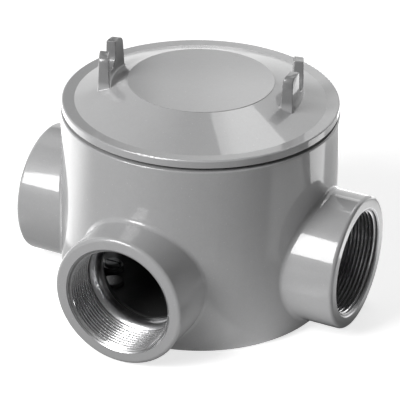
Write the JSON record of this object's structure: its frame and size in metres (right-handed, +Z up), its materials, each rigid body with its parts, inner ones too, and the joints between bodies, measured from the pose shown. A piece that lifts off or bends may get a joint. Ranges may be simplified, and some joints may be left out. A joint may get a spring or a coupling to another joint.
{
  "type": "explosion-proof junction box",
  "caption": "Round cast junction box with threaded conduit hubs at the sides and a screwed cover with notched wrench lugs.",
  "frame": {"origin": "centre of the flat base, on the axis of the round body", "axes": "+Z up along the axis of the body and cover, +X along the straight run through the two opposite hubs, -Y out of the single front hub"},
  "size_m": [0.1948, 0.175, 0.1411],
  "materials": {
    "grey_enamel": "semi-gloss enamel over cast aluminium",
    "black_rubber": "matt moulded rubber",
    "zinc_plated_steel": "bright zinc plate"
  },
  "bodies": {
    "body": {"housing": "grey_enamel", "ground_screw": "zinc_plated_steel", "ground_washer": "zinc_plated_steel"},
    "cover_carrier": {"cover_gasket": "black_rubber"},
    "screwed_cover": {"cover": "grey_enamel"}
  },
  "joints": [
    {"name": "cover_lift", "type": "slide", "parent": "body", "child": "cover_carrier", "axis": [0, 0, 1], "range_m": [0, 0.01695]},
    {"name": "cover_turn", "type": "hinge", "parent": "cover_carrier", "child": "screwed_cover", "pos_m": [0, 0, 0.1124], "axis": [0, 0, 1], "range_deg": [0, 2880]}
  ],
  "couplings": [
    {"joint": "cover_lift", "follows": "cover_turn", "m_per_rad": 0.00033688}
  ]
}
